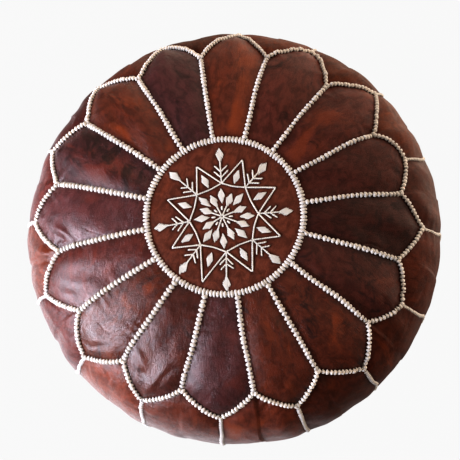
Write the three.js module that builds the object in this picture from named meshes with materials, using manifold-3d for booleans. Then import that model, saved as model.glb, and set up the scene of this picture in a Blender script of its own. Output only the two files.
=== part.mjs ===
// Moroccan leather pouf: an embroidered medallion, sixteen pointed petals and sixteen side panels
// whip-stitched together over a stuffed cotton bag, with a zip across the base.
// Units are millimetres, +Z is up, and the origin is under the middle of the pouf, on the floor.

import * as THREE from 'three';
import { mergeVertices } from 'three/addons/utils/BufferGeometryUtils.js';
import Module from 'manifold-3d';

const wasm = await Module();
wasm.setup();

// ---------------------------------------------------------------- driving dimensions

const PETAL_COUNT = 16;
const RADIUS = 260; // at the belly, the widest level
const HEIGHT = 280; // floor to the crown
const BELLY_Z = 135; // height of the widest level
const CROWN_POWER = 3; // superellipse exponent above the belly: 2 is round, higher is squarer
const FLAT_TOP_R = 30; // flat middle of the medallion

const RING_R = 92; // seam between the medallion and the petals
const SHOULDER_R = 207; // where two petals part and a side panel begins
const TIP_R = 236; // point of each petal
const SCALLOP_BULGE = 1.15; // 1 makes a petal's two outer edges straight, more swells them

const REST_OUTER_R = 188; // the ring that the pouf stands on
const REST_INNER_R = 172;
const LIP_R = 165; // the side panels turn up inside the rest ring to the base seam
const BASE_SEAM_R = 160;
const BASE_Z = 11; // underside of the base leather

const LEATHER = 1.5;
const EDGE_GAP = 0.3; // each leather edge stands back this far from its seam line
const BRAID_GAP = 0.4; // air under each line of stitching
const BRAID_WIDTH = 6;
const BRAID_HEIGHT = 2.2;

const LINER_INSET = 5.5; // outer skin to the cotton bag
const LINER = 1.2;
const STUFFING_INSET = 8;
const BAG_FLOOR_Z = 18; // the bag stays above the zip
const MOUTH_R = 20; // drawn neck of the bag

const ZIP = {
  slitHalfLength: 128,
  slitHalfWidth: 5,
  tapeHalfLength: 140,
  tapeInner: 2.4,
  tapeOuter: 16,
  tapeZ: 12.8,
  tapeThickness: 0.8,
  chainHalfLength: 125,
  coilInner: 0.8,
  coilOuter: 3,
  coilZ: 11.6,
  coilHeight: 2.6,
  stopLength: 3,
  stopMargin: 0.2,
};

const SLIDER = {
  restX: 112,
  length: 12,
  halfWidth: 4.5,
  lowerZ: 9,
  lowerThickness: 1.4,
  upperZ: 15,
  upperThickness: 1.2,
  flangeWidth: 0.9,
  lowerFlangeTop: 12.2,
  upperFlangeBottom: 13.9,
  postLength: 3.5,
  postWidth: 1,
  bailInnerLength: 5,
  bailInnerHeight: 2.4,
  bailThickness: 1.2,
  bailWidth: 2,
};

const PULLER = {
  barZ: 7.8, // hinge line, in the middle of the bail
  barRadius: 0.8,
  thickness: 1.2,
  length: 26,
  width: 7,
  windowStart: 0.7,
  windowEnd: 7,
  windowWidth: 3.4,
};

// ---------------------------------------------------------------- colours

const BROWNS = {
  amber: 0x8a4a2c,
  rust: 0x6b3424,
  chestnut: 0x54291f,
  umber: 0x3a2019,
  plum: 0x3b2627,
  sloe: 0x261817,
};

// petal_01 lies just anticlockwise of +X, and the others follow anticlockwise
const PETAL_TONES = [
  'sloe', 'umber', 'umber', 'amber', 'umber', 'rust', 'plum', 'plum',
  'chestnut', 'chestnut', 'plum', 'plum', 'chestnut', 'rust', 'umber', 'sloe',
];

const leather = (tone) => new THREE.MeshStandardMaterial({
  color: BROWNS[tone],
  roughness: 0.42,
  metalness: 0,
});

const thread = new THREE.MeshStandardMaterial({ color: 0xd8d0c4, roughness: 0.7, metalness: 0 });
const tapeCloth = new THREE.MeshStandardMaterial({ color: 0x2c221e, roughness: 0.85, metalness: 0 });
const brass = new THREE.MeshStandardMaterial({ color: 0xa88a4e, roughness: 0.35, metalness: 1 });
const cotton = new THREE.MeshStandardMaterial({ color: 0xd9cfbd, roughness: 0.9, metalness: 0 });
const wadding = new THREE.MeshStandardMaterial({ color: 0xe6dfd2, roughness: 0.95, metalness: 0 });

// ---------------------------------------------------------------- the pouf's outline

// A station runs down the outline: 0 at the crown, HALF_TURN / 2 at the belly, HALF_TURN at the
// outer edge of the rest ring, and one more for each corner of the underside after that.
const HALF_TURN = Math.PI;
const BELLY = HALF_TURN / 2;
const CROWN_HEIGHT = HEIGHT - BELLY_Z;
const UNDERSIDE = [
  new THREE.Vector2(REST_OUTER_R, 0),
  new THREE.Vector2(REST_INNER_R, 0),
  new THREE.Vector2(LIP_R, BASE_Z - EDGE_GAP),
  new THREE.Vector2(BASE_SEAM_R + EDGE_GAP, BASE_Z),
];
const LAST_STATION = HALF_TURN + UNDERSIDE.length - 1;

function outline(station) {
  if (station <= BELLY) {
    const power = 2 / CROWN_POWER;
    return new THREE.Vector2(
      RADIUS * Math.sin(station) ** power,
      BELLY_Z + CROWN_HEIGHT * Math.max(0, Math.cos(station)) ** power,
    );
  }
  if (station <= HALF_TURN) {
    return new THREE.Vector2(
      REST_OUTER_R + (RADIUS - REST_OUTER_R) * Math.sin(station),
      BELLY_Z * (1 + Math.cos(station)),
    );
  }
  const past = Math.min(station - HALF_TURN, UNDERSIDE.length - 1);
  const corner = Math.min(Math.floor(past), UNDERSIDE.length - 2);
  return UNDERSIDE[corner].clone().lerp(UNDERSIDE[corner + 1], past - corner);
}

function outlineNormal(station) {
  const step = 0.001;
  const ahead = outline(Math.min(station + step, LAST_STATION));
  const along = ahead.sub(outline(station - step)).normalize();
  return new THREE.Vector2(-along.y, along.x);
}

const stationAtRadius = (r) => Math.asin((r / RADIUS) ** (CROWN_POWER / 2));

function stationFurther(station, distance) {
  const step = 0.001;
  return station + distance * step / outline(station).distanceTo(outline(station + step));
}

function around(point, angle) {
  return new THREE.Vector3(point.x * Math.cos(angle), point.x * Math.sin(angle), point.y);
}

function skin(angle, station, inset = 0) {
  return around(outline(station).addScaledVector(outlineNormal(station), -inset), angle);
}

const skinNormal = (angle, station) => around(outlineNormal(station), angle);

// ---------------------------------------------------------------- seam lines

const PETAL_ANGLE = 2 * Math.PI / PETAL_COUNT;
const HALF_PETAL = PETAL_ANGLE / 2;
const RING = stationAtRadius(RING_R);
const SHOULDER = stationAtRadius(SHOULDER_R);
const TIP = stationAtRadius(TIP_R);

const PETAL_ROWS = 4; // medallion seam to shoulder
const SCALLOP_ROWS = 2; // shoulder to tip
const SIDE_ROWS = 3; // scallop to belly
const BELLY_ROWS = 4; // belly to rest ring
const COLUMNS = 2 * SCALLOP_ROWS; // across one petal or side panel
const RING_SEGMENTS = PETAL_COUNT * COLUMNS;

const shoulderAngle = (k) => k * PETAL_ANGLE;
const tipAngle = (k) => (k + 0.5) * PETAL_ANGLE;
const mix = THREE.MathUtils.lerp;

// u runs from 0 at a shoulder to 1 at the tip beside it, in equal steps of angle
const scallopStation = (u) => mix(SHOULDER, TIP, u ** (1 / SCALLOP_BULGE));

function sideStation(row, u) {
  if (row <= SIDE_ROWS) {
    const top = stationFurther(scallopStation(u), EDGE_GAP / Math.SQRT1_2);
    return mix(top, BELLY, row / SIDE_ROWS);
  }
  if (row <= SIDE_ROWS + BELLY_ROWS) {
    return mix(BELLY, HALF_TURN, (row - SIDE_ROWS) / BELLY_ROWS);
  }
  return HALF_TURN + row - SIDE_ROWS - BELLY_ROWS;
}

// ---------------------------------------------------------------- building closed surfaces

function geometryFrom(points, index) {
  const geometry = new THREE.BufferGeometry();
  geometry.setFromPoints(points);
  geometry.setIndex(index);
  geometry.computeVertexNormals();
  return geometry;
}

// A sheet of leather: rows run down the outline and columns anticlockwise around it.
function sheet(rows, columns, place) {
  const points = [];
  for (const inset of [0, LEATHER]) {
    for (let i = 0; i <= rows; i++) {
      for (let j = 0; j <= columns; j++) points.push(place(i, j, inset));
    }
  }
  const layer = (rows + 1) * (columns + 1);
  const outer = (i, j) => i * (columns + 1) + j;
  const inner = (i, j) => layer + outer(i, j);
  const index = [];
  const quad = (a, b, c, d) => index.push(a, b, c, a, c, d);
  for (let i = 0; i < rows; i++) {
    for (let j = 0; j < columns; j++) {
      quad(outer(i, j), outer(i + 1, j), outer(i + 1, j + 1), outer(i, j + 1));
      quad(inner(i, j), inner(i, j + 1), inner(i + 1, j + 1), inner(i + 1, j));
    }
    quad(outer(i, 0), inner(i, 0), inner(i + 1, 0), outer(i + 1, 0));
    quad(outer(i, columns), outer(i + 1, columns), inner(i + 1, columns), inner(i, columns));
  }
  for (let j = 0; j < columns; j++) {
    quad(outer(0, j), outer(0, j + 1), inner(0, j + 1), inner(0, j));
    quad(outer(rows, j), inner(rows, j), inner(rows, j + 1), outer(rows, j + 1));
  }
  return geometryFrom(points, index);
}

// A flat-bottomed strip swept along a seam line, which is a list of { angle, station }.
const BRAID_SECTION = [
  new THREE.Vector2(-BRAID_WIDTH / 2, BRAID_GAP),
  new THREE.Vector2(BRAID_WIDTH / 2, BRAID_GAP),
  new THREE.Vector2(0.3 * BRAID_WIDTH, BRAID_GAP + BRAID_HEIGHT),
  new THREE.Vector2(-0.3 * BRAID_WIDTH, BRAID_GAP + BRAID_HEIGHT),
];

function braid(line, closed = false) {
  const count = line.length;
  const corners = BRAID_SECTION.length;
  const centres = line.map(({ angle, station }) => skin(angle, station));
  const points = [];
  line.forEach(({ angle, station }, i) => {
    const before = closed || i > 0 ? centres[(i + count - 1) % count] : centres[i];
    const after = closed || i < count - 1 ? centres[(i + 1) % count] : centres[i];
    const arriving = centres[i].clone().sub(before).normalize();
    const leaving = after.clone().sub(centres[i]).normalize();
    const up = skinNormal(angle, station);
    const side = arriving.clone().add(leaving).cross(up).normalize();
    const straight = leaving.lengthSq() > 0 ? leaving : arriving;
    const mitre = 1 / side.dot(straight.clone().cross(up).normalize());
    for (const corner of BRAID_SECTION) {
      const point = centres[i].clone().addScaledVector(side, corner.x * mitre);
      points.push(point.addScaledVector(up, corner.y));
    }
  });
  const index = [];
  for (let i = 0; i < (closed ? count : count - 1); i++) {
    const near = i * corners;
    const far = ((i + 1) % count) * corners;
    for (let j = 0; j < corners; j++) {
      const next = (j + 1) % corners;
      index.push(near + j, far + j, far + next, near + j, far + next, near + next);
    }
  }
  if (!closed) {
    const end = (count - 1) * corners;
    for (let j = 1; j < corners - 1; j++) {
      index.push(0, j, j + 1);
      index.push(end, end + j + 1, end + j);
    }
  }
  return geometryFrom(points, index);
}

function loopLine(station) {
  const line = [];
  for (let i = 0; i < RING_SEGMENTS; i++) {
    line.push({ angle: i * 2 * Math.PI / RING_SEGMENTS, station });
  }
  return line;
}

// ---------------------------------------------------------------- joining and cutting

function solid(geometry) {
  const bare = geometry.clone();
  bare.deleteAttribute('normal');
  bare.deleteAttribute('uv');
  const merged = mergeVertices(bare, 1e-4);
  return new wasm.Manifold(new wasm.Mesh({
    numProp: 3,
    vertProperties: new Float32Array(merged.attributes.position.array),
    triVerts: new Uint32Array(merged.index.array),
  }));
}

function geometryOf(manifold) {
  const mesh = manifold.getMesh();
  const geometry = new THREE.BufferGeometry();
  geometry.setAttribute('position', new THREE.BufferAttribute(mesh.vertProperties, 3));
  geometry.setIndex(new THREE.BufferAttribute(mesh.triVerts, 1));
  geometry.computeVertexNormals();
  return geometry;
}

const joined = (pieces) => geometryOf(pieces.map(solid).reduce((whole, piece) => whole.add(piece)));

function block(x0, x1, y0, y1, z0, z1) {
  const geometry = new THREE.BoxGeometry(x1 - x0, y1 - y0, z1 - z0);
  return geometry.translate((x0 + x1) / 2, (y0 + y1) / 2, (z0 + z1) / 2);
}

// ---------------------------------------------------------------- leather

function petal(k) {
  const rows = PETAL_ROWS + SCALLOP_ROWS;
  const inset = EDGE_GAP / Math.SQRT1_2;
  const bluntTip = 0.97;
  return sheet(rows, COLUMNS, (i, j, depth) => {
    const u = Math.min(Math.max(0, i - PETAL_ROWS) / SCALLOP_ROWS, bluntTip);
    const start = stationAtRadius(RING_R + EDGE_GAP);
    const station = i <= PETAL_ROWS ? mix(start, SHOULDER, i / PETAL_ROWS) : scallopStation(u);
    const setback = (i < PETAL_ROWS ? EDGE_GAP : inset) / outline(station).x;
    const halfAngle = HALF_PETAL * (1 - u) - setback;
    return skin(tipAngle(k) + mix(-halfAngle, halfAngle, j / COLUMNS), station, depth);
  });
}

function sidePanel(k) {
  const rows = SIDE_ROWS + BELLY_ROWS + UNDERSIDE.length - 1;
  return sheet(rows, COLUMNS, (i, j, depth) => {
    const across = 2 * j / COLUMNS - 1;
    const station = sideStation(i, Math.abs(across));
    const setback = Math.abs(across) === 1 ? EDGE_GAP / outline(station).x : 0;
    const angle = shoulderAngle(k) + across * (HALF_PETAL - setback);
    return skin(angle, station, depth);
  });
}

// A round body from an outline of Vector2(radius, height) that ends on the axis or closes.
function turned(points, segments) {
  return new THREE.LatheGeometry(points, segments).rotateX(Math.PI / 2);
}

function medallion() {
  const edge = stationAtRadius(RING_R - EDGE_GAP);
  const inner = stationAtRadius(FLAT_TOP_R);
  const stations = [edge, mix(edge, inner, 0.5), inner];
  const topZ = outline(inner).y;
  const outside = stations.map((station) => outline(station));
  const inside = outside.map((point) => new THREE.Vector2(point.x, point.y - LEATHER)).reverse();
  return turned([
    new THREE.Vector2(0, topZ - LEATHER),
    ...inside,
    ...outside,
    new THREE.Vector2(0, topZ),
  ], RING_SEGMENTS);
}

function baseHalf() {
  const seamEdge = 2 * EDGE_GAP;
  const radius = BASE_SEAM_R - EDGE_GAP;
  const shape = new THREE.Shape();
  shape.moveTo(radius, seamEdge);
  for (let i = 1; i < RING_SEGMENTS / 2; i++) {
    const angle = i * 2 * Math.PI / RING_SEGMENTS;
    shape.lineTo(radius * Math.cos(angle), radius * Math.sin(angle));
  }
  shape.lineTo(-radius, seamEdge);
  shape.lineTo(-ZIP.slitHalfLength, seamEdge);
  shape.lineTo(-ZIP.slitHalfLength, ZIP.slitHalfWidth);
  shape.lineTo(ZIP.slitHalfLength, ZIP.slitHalfWidth);
  shape.lineTo(ZIP.slitHalfLength, seamEdge);
  const geometry = new THREE.ExtrudeGeometry(shape, { depth: LEATHER, bevelEnabled: false });
  return geometry.translate(0, 0, BASE_Z);
}

// ---------------------------------------------------------------- lines of stitching

function radialBraid(k) {
  const clear = BRAID_WIDTH / 2 + 2;
  const from = stationAtRadius(RING_R + clear);
  const to = stationAtRadius(SHOULDER_R - clear);
  const line = [];
  for (let i = 0; i <= PETAL_ROWS; i++) {
    line.push({ angle: shoulderAngle(k), station: mix(from, to, i / PETAL_ROWS) });
  }
  return braid(line);
}

// One continuous run: around every petal's two outer edges, and down each side seam.
function scallopAndSideBraid() {
  const zigzag = [];
  const legs = [];
  const lastRow = SIDE_ROWS + BELLY_ROWS - 1;
  for (let k = 0; k < PETAL_COUNT; k++) {
    for (let j = 0; j < COLUMNS; j++) {
      const u = 1 - Math.abs(1 - j / SCALLOP_ROWS);
      zigzag.push({ angle: shoulderAngle(k) + j * PETAL_ANGLE / COLUMNS, station: scallopStation(u) });
    }
    const leg = [{ angle: tipAngle(k), station: TIP }];
    for (let row = 1; row <= lastRow; row++) {
      leg.push({ angle: tipAngle(k), station: sideStation(row, 1) });
    }
    legs.push(braid(leg));
  }
  return joined([braid(zigzag, true), ...legs]);
}

const medallionBraid = () => braid(loopLine(RING), true);
const baseBraid = () => braid(loopLine(LAST_STATION), true);

// ---------------------------------------------------------------- zip

function zipHalf() {
  const { tapeHalfLength: tape, chainHalfLength: chain, stopMargin: margin } = ZIP;
  const coilTop = ZIP.coilZ + ZIP.coilHeight;
  const stop = (x0, x1) => block(
    x0, x1, ZIP.coilInner - margin, ZIP.coilOuter + margin, ZIP.coilZ - margin, coilTop + margin,
  );
  return joined([
    block(-tape, tape, ZIP.tapeInner, ZIP.tapeOuter, ZIP.tapeZ, ZIP.tapeZ + ZIP.tapeThickness),
    block(-chain, chain, ZIP.coilInner, ZIP.coilOuter, ZIP.coilZ, coilTop),
    stop(chain - ZIP.stopLength, chain),
    stop(-chain, -chain + ZIP.stopLength),
  ]);
}

function zipSlider() {
  const s = SLIDER;
  const end = s.length / 2;
  const w = s.halfWidth;
  const rail = w - s.flangeWidth;
  const lowerTop = s.lowerZ + s.lowerThickness;
  const bailOuter = s.bailInnerLength / 2 + s.bailThickness;
  const bailInner = s.bailInnerLength / 2;
  const bailFloor = s.lowerZ - s.bailInnerHeight;
  const overlap = 0.2;
  return joined([
    block(-end, end, -w, w, s.lowerZ, lowerTop),
    block(-end, end, -w, w, s.upperZ, s.upperZ + s.upperThickness),
    block(-end, end, -w, -rail, lowerTop - overlap, s.lowerFlangeTop),
    block(-end, end, rail, w, lowerTop - overlap, s.lowerFlangeTop),
    block(-end, end, -w, -rail, s.upperFlangeBottom, s.upperZ + overlap),
    block(-end, end, rail, w, s.upperFlangeBottom, s.upperZ + overlap),
    block(end - s.postLength, end, -s.postWidth / 2, s.postWidth / 2, lowerTop - overlap,
      s.upperZ + overlap),
    block(-bailOuter, -bailInner, -s.bailWidth / 2, s.bailWidth / 2, bailFloor - s.bailThickness,
      s.lowerZ + overlap),
    block(bailInner, bailOuter, -s.bailWidth / 2, s.bailWidth / 2, bailFloor - s.bailThickness,
      s.lowerZ + overlap),
    block(-bailOuter, bailOuter, -s.bailWidth / 2, s.bailWidth / 2, bailFloor - s.bailThickness,
      bailFloor),
  ]);
}

// The tab lies flat towards -X, with its bar through the bail and a window for the bail to pass.
function zipPuller() {
  const { length, width, windowStart, windowEnd, windowWidth, thickness, barRadius } = PULLER;
  const shape = new THREE.Shape();
  shape.moveTo(0, -width / 2);
  shape.lineTo(0, width / 2);
  shape.lineTo(width / 2 - length, width / 2);
  shape.absarc(width / 2 - length, 0, width / 2, Math.PI / 2, 1.5 * Math.PI, false);
  const window = new THREE.Path();
  window.moveTo(-windowStart, -windowWidth / 2);
  window.lineTo(-windowEnd, -windowWidth / 2);
  window.lineTo(-windowEnd, windowWidth / 2);
  window.lineTo(-windowStart, windowWidth / 2);
  shape.holes.push(window);
  const tab = new THREE.ExtrudeGeometry(shape, {
    depth: thickness,
    bevelEnabled: false,
    curveSegments: 8,
  });
  const bar = new THREE.CylinderGeometry(barRadius, barRadius, width, 12);
  return joined([tab.translate(0, 0, -thickness / 2), bar]);
}

// ---------------------------------------------------------------- cotton bag and stuffing

// The outline of what lies inside the leather, from the crown to the flat under the bag.
function innerOutline(inset) {
  const stations = [FLAT_TOP_R, RING_R, (RING_R + SHOULDER_R) / 2, SHOULDER_R, TIP_R].map(stationAtRadius);
  for (let i = 1; i <= SIDE_ROWS - 1; i++) stations.push(mix(TIP, BELLY, i / (SIDE_ROWS - 1)));
  for (let i = 1; i <= BELLY_ROWS; i++) stations.push(mix(BELLY, HALF_TURN, i / BELLY_ROWS));
  const points = stations.map((station) => {
    return outline(station).addScaledVector(outlineNormal(station), -inset);
  });
  const floorZ = BAG_FLOOR_Z + inset - LINER_INSET;
  const rimR = REST_INNER_R + inset;
  return [...points, new THREE.Vector2(rimR, inset), new THREE.Vector2(rimR - 6, floorZ)];
}

function liner() {
  const outside = innerOutline(LINER_INSET);
  const inside = innerOutline(LINER_INSET + LINER);
  const neck = (inset) => new THREE.Vector2(MOUTH_R, BAG_FLOOR_Z + inset);
  const crown = (points) => new THREE.Vector2(0, points[0].y);
  const down = [crown(inside), ...inside, neck(LINER)];
  const up = [neck(0), ...outside.reverse()];
  return turned([...down, ...up, crown([up.at(-1)])], PETAL_COUNT);
}

function stuffing() {
  const points = innerOutline(STUFFING_INSET);
  const floorZ = points.at(-1).y;
  return turned([
    new THREE.Vector2(0, floorZ),
    ...points.reverse(),
    new THREE.Vector2(0, points.at(-1).y),
  ], PETAL_COUNT);
}

// ---------------------------------------------------------------- assembly

const pouf = new THREE.Group();

function add(name, geometry, material) {
  const mesh = new THREE.Mesh(geometry, material);
  mesh.name = name;
  pouf.add(mesh);
  return mesh;
}

const numbered = (name, k) => `${name}_${String(k + 1).padStart(2, '0')}`;

add('medallion', medallion(), leather('rust'));
for (let k = 0; k < PETAL_COUNT; k++) add(numbered('petal', k), petal(k), leather(PETAL_TONES[k]));
for (let k = 0; k < PETAL_COUNT; k++) add(numbered('side_panel', k), sidePanel(k), leather('rust'));
add('base_half_back', baseHalf(), leather('chestnut'));
add('base_half_front', baseHalf(), leather('chestnut')).rotation.z = Math.PI;

add('medallion_braid', medallionBraid(), thread);
for (let k = 0; k < PETAL_COUNT; k++) add(numbered('radial_braid', k), radialBraid(k), thread);
add('scallop_and_side_braid', scallopAndSideBraid(), thread);
add('base_braid', baseBraid(), thread);

add('zip_half_back', zipHalf(), tapeCloth);
add('zip_half_front', zipHalf(), tapeCloth).rotation.z = Math.PI;
add('zip_slider', zipSlider(), brass).position.x = SLIDER.restX;
add('zip_puller', zipPuller(), brass).position.set(SLIDER.restX, 0, PULLER.barZ);

add('liner', liner(), cotton);
add('stuffing', stuffing(), wadding);

export default pouf;
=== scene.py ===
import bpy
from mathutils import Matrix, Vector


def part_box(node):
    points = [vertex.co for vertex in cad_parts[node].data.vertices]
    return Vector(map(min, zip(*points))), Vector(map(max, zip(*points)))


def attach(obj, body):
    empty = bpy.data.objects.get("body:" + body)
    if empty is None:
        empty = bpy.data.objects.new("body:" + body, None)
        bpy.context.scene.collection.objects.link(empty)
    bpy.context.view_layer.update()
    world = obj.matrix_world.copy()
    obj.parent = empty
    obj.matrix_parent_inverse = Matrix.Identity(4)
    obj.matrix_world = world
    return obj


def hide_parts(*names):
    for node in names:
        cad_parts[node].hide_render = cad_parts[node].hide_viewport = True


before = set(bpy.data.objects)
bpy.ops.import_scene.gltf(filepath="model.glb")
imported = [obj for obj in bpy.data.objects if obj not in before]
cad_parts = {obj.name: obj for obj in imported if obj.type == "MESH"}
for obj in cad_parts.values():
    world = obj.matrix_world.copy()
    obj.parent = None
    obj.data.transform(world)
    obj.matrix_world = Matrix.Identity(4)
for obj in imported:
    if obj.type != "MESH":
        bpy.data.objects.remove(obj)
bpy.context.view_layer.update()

import math
from collections import namedtuple

import bpy
import numpy as np
from mathutils import Matrix, Vector

# ------------------------------------------------------------------ sizes, in metres

MM = 0.001
PETALS = 16
TURN = 2 * math.pi
STEP = TURN / PETALS
HALF = STEP / 2
EDGE_GAP = 0.3 * MM

BELLY_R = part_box("side_panel_01")[1].x
BELLY_Z = 135 * MM
CROWN_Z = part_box("medallion")[1].z
CROWN_POWER = 3
RING_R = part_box("medallion")[1].x + EDGE_GAP
SHOULDER_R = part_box("radial_braid_01")[1].x + 5 * MM
TIP_R = 236 * MM
SCALLOP_BULGE = 1.15
REST_OUTER_R = 188 * MM
REST_INNER_R = 172 * MM
BASE_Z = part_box("base_half_back")[0].z
BASE_SEAM_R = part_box("base_half_back")[1].x + EDGE_GAP
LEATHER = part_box("base_half_back")[1].z - BASE_Z

# ------------------------------------------------------------------ dyes, linear colours

DYES = {
    "deep": (0.016, 0.0055, 0.0045),
    "plum": (0.062, 0.021, 0.020),
    "brown": (0.096, 0.0270, 0.0185),
    "tan": (0.128, 0.040, 0.023),
    "wine": (0.105, 0.025, 0.0185),
    "rust": (0.125, 0.031, 0.0155),
    "amber": (0.270, 0.058, 0.014),
}

# The colour that shows through where each dye is rubbed.
GLOWS = {
    "plum": (0.150, 0.034, 0.022),
    "brown": (0.190, 0.045, 0.018),
    "tan": (0.190, 0.046, 0.018),
    "wine": (0.190, 0.036, 0.018),
    "rust": (0.230, 0.052, 0.016),
    "amber": (0.300, 0.070, 0.018),
}

# Each petal, anticlockwise from +X. The dye: its ground colour, its tone, its share of the glow that
# shows through, its share of deep clouds, and the turn of its nap in degrees. The hand-made drift:
# how far its tip reaches (mm) and leans (degrees), the same for the shoulder clockwise of it, and
# how the side seam below its tip leans.
Petal = namedtuple(
    "Petal",
    "dye tone glow cloud nap tip_reach tip_lean shoulder_reach shoulder_lean side_lean",
)
PETAL_ROWS = [
    Petal("brown", 0.66, 0.05, 0.35, 10, -9.0, -0.5, 5.5, -0.2, 0.0),
    Petal("brown", 0.84, 0.35, 0.35, -12, 17.0, -0.6, -0.5, -1.0, 0.0),
    Petal("brown", 0.93, 0.30, 0.40, 6, 20.0, 0.2, 0.5, 0.0, 0.0),
    Petal("rust", 0.80, 0.60, 0.20, -5, 23.0, 0.3, 7.5, 0.5, 0.0),
    Petal("plum", 1.00, 0.20, 0.45, 20, 22.0, 0.4, 2.0, 0.3, 0.0),
    Petal("rust", 0.74, 0.62, 0.35, 4, 20.0, -0.2, 9.5, -0.5, 0.0),
    Petal("plum", 0.98, 0.45, 0.60, -35, 8.0, 0.5, 12.5, 0.2, 0.0),
    Petal("plum", 1.50, 0.30, 0.20, 75, 8.5, 0.0, 11.0, 0.2, 0.0),
    Petal("wine", 0.90, 0.45, 0.40, 70, 5.0, -0.1, 0.0, 0.6, 0.0),
    Petal("rust", 0.72, 0.60, 0.45, 22, 1.0, 0.0, -1.5, -0.3, 0.0),
    Petal("brown", 0.78, 0.25, 0.40, 20, 3.0, -0.6, 0.8, -0.3, 1.2),
    Petal("plum", 1.16, 0.42, 0.25, 8, -1.5, 0.2, 1.8, -0.3, 0.2),
    Petal("rust", 0.77, 0.30, 0.45, -8, 0.0, 0.5, 1.8, 0.3, 0.2),
    Petal("rust", 0.72, 0.35, 0.55, 14, 8.0, 0.1, 4.2, -0.4, 0.0),
    Petal("brown", 0.72, 0.10, 0.50, -10, -5.5, -1.0, 1.8, -0.1, 0.8),
    Petal("brown", 0.46, 0.00, 0.50, 5, -1.5, 0.5, 4.2, 0.4, 0.0),
]

# The record's material slot of each petal, without its "leather_".
PETAL_SLOTS = ("sloe", "umber", "umber", "amber", "umber", "rust", "plum", "plum",
               "chestnut", "chestnut", "plum", "plum", "chestnut", "rust", "umber", "sloe")

# Each side panel, anticlockwise from the one under +X: its dye as above, then its gloss.
SIDE_ROWS = [
    ("rust", 0.50, 0.15, 0.20, 0.03),
    ("amber", 0.33, 0.10, 0.20, 0.00),
    ("amber", 0.27, 0.10, 0.25, -0.12),
    ("amber", 0.36, 0.20, 0.20, -0.12),
    ("amber", 0.23, 0.15, 0.25, -0.10),
    ("rust", 0.74, 0.25, 0.20, 0.20),
    ("wine", 0.64, 0.10, 0.30, 0.50),
    ("wine", 1.12, 0.30, 0.15, 0.62),
    ("rust", 1.20, 0.15, 0.25, 0.78),
    ("wine", 1.00, 0.20, 0.35, 0.80),
    ("rust", 1.27, 0.25, 0.20, 0.80),
    ("rust", 0.84, 0.30, 0.30, 0.72),
    ("rust", 1.05, 0.55, 0.30, 0.35),
    ("rust", 0.58, 0.20, 0.30, 0.15),
    ("rust", 0.60, 0.25, 0.20, 0.00),
    ("rust", 0.62, 0.15, 0.20, -0.08),
]


# ------------------------------------------------------------------ the pouf's outline

CROWN_POINTS = 1500


def outline_tables():
    """The outline from the crown to the base seam: arc length, radius, height and outward normal."""
    crown = np.linspace(0, math.pi / 2, CROWN_POINTS)
    power = 2 / CROWN_POWER
    r = [BELLY_R * np.sin(crown) ** power]
    z = [BELLY_Z + (CROWN_Z - BELLY_Z) * np.clip(np.cos(crown), 0, 1) ** power]
    below = np.linspace(math.pi / 2, math.pi, 800)[1:]
    r.append(REST_OUTER_R + (BELLY_R - REST_OUTER_R) * np.sin(below))
    z.append(BELLY_Z * (1 + np.cos(below)))
    ring = np.linspace(0, 1, 20)[1:]
    r.append(REST_OUTER_R + (REST_INNER_R - REST_OUTER_R) * ring)
    z.append(0 * ring)
    lip = np.linspace(0, math.pi / 2, 60)[1:]
    r.append(REST_INNER_R - (REST_INNER_R - BASE_SEAM_R) * np.sin(lip))
    z.append(BASE_Z * (1 - np.cos(lip)))
    r, z = np.concatenate(r), np.concatenate(z)
    length = np.concatenate([[0], np.cumsum(np.hypot(np.diff(r), np.diff(z)))])
    dr, dz = np.gradient(r, length), np.gradient(z, length)
    size = np.hypot(dr, dz)
    return {"length": length, "r": r, "z": z, "nr": -dz / size, "nz": dr / size}


OUTLINE = outline_tables()


def outline(name, length):
    return np.interp(length, OUTLINE["length"], OUTLINE[name])


def length_at(radius):
    """Arc length from the crown to a radius above the belly."""
    above = OUTLINE["length"][: np.argmax(OUTLINE["r"]) + 1]
    return float(np.interp(radius, OUTLINE["r"][: len(above)], above))


RING = length_at(RING_R)
SHOULDER = length_at(SHOULDER_R)
TIP = length_at(TIP_R)
BELLY = length_at(BELLY_R)
END = float(OUTLINE["length"][-1])
REST_START = float(np.interp(-REST_OUTER_R, -OUTLINE["r"][CROWN_POINTS:],
                             OUTLINE["length"][CROWN_POINTS:]))


def scallop(share):
    """Arc length of the scallop seam: share is 0 at a shoulder and 1 at the tip beside it."""
    return SHOULDER + (TIP - SHOULDER) * np.clip(share, 0, 1) ** (1 / SCALLOP_BULGE)


# ------------------------------------------------------------------ random but repeatable fields

FIELD_WAVES = 20


def field(seed, *axes):
    """A smooth random field with hills about one unit apart along each axis, mean 0 and spread 1."""
    points = np.stack(axes, -1)
    rng = np.random.default_rng(seed)
    direction = rng.normal(size=(FIELD_WAVES, len(axes)))
    direction /= np.linalg.norm(direction, axis=1)[:, None]
    pitch = TURN * rng.uniform(0.55, 1.25, FIELD_WAVES)
    phase = rng.uniform(0, TURN, FIELD_WAVES)
    total = np.zeros(points.shape[:-1])
    for d, k, p in zip(direction, pitch, phase):
        total += np.cos(points @ d * k + p)
    return total * math.sqrt(2 / FIELD_WAVES)


def smooth(x, low, high):
    """A soft step from 0 at low to 1 at high."""
    t = np.clip((x - low) / (high - low), 0, 1)
    return t * t * (3 - 2 * t)


def plateau(x, rise, top, edge, fall):
    """1 from top to edge, going softly to 0 at rise and fall."""
    return smooth(x, rise, top) * (1 - smooth(x, edge, fall))


def bell(x, width):
    return np.exp(-((x / width) ** 2))


# ------------------------------------------------------------------ seams

def folded(theta):
    """Share of the way from the nearest shoulder line (0) to the nearest tip line (1)."""
    turn = np.mod(theta, STEP) / HALF
    return 1 - np.abs(1 - turn)


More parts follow.
